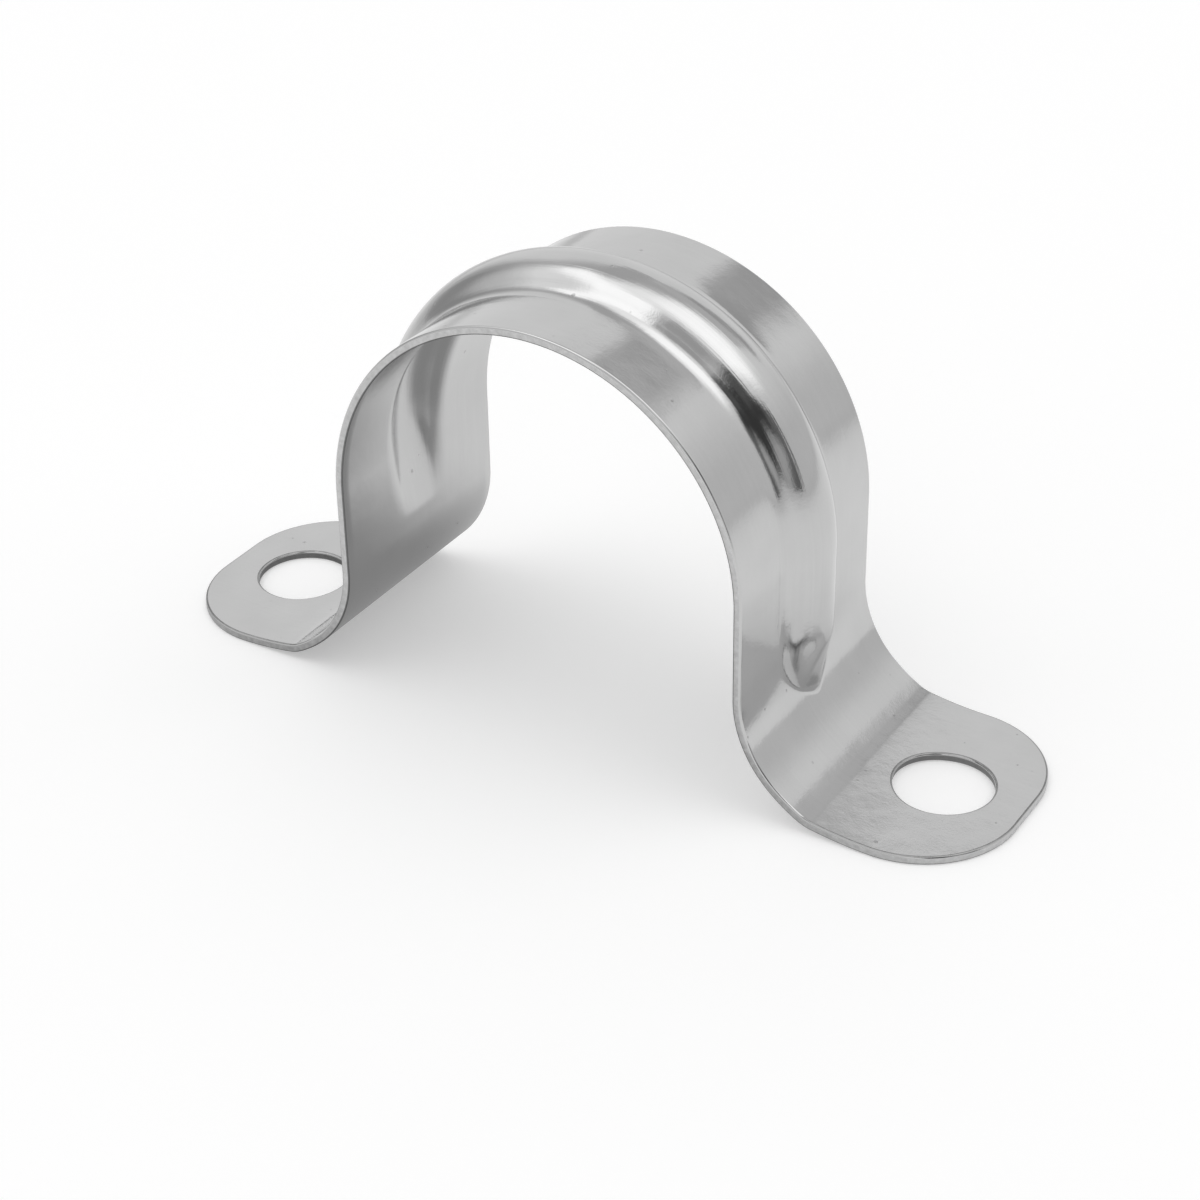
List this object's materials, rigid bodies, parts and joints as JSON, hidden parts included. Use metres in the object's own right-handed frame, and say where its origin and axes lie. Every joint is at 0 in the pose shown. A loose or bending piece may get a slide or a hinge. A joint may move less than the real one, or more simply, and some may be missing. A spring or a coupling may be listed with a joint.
{
  "type": "conduit strap",
  "caption": "Two-hole saddle strap of bent sheet metal with a round arch, two short legs, flat rounded feet and a raised stiffening bead.",
  "frame": {"origin": "on the wall face under the feet, midway between the two screw holes", "axes": "+X from foot to foot, along the line of the screw holes; +Y along the conduit; +Z away from the wall, over the arch"},
  "size_m": [0.0534, 0.0146, 0.0269],
  "materials": {
    "steel": "bright rolled sheet, half mirror, with fine pits and a faint grain"
  },
  "bodies": {
    "root": {"strap": "steel"}
  },
  "joints": []
}
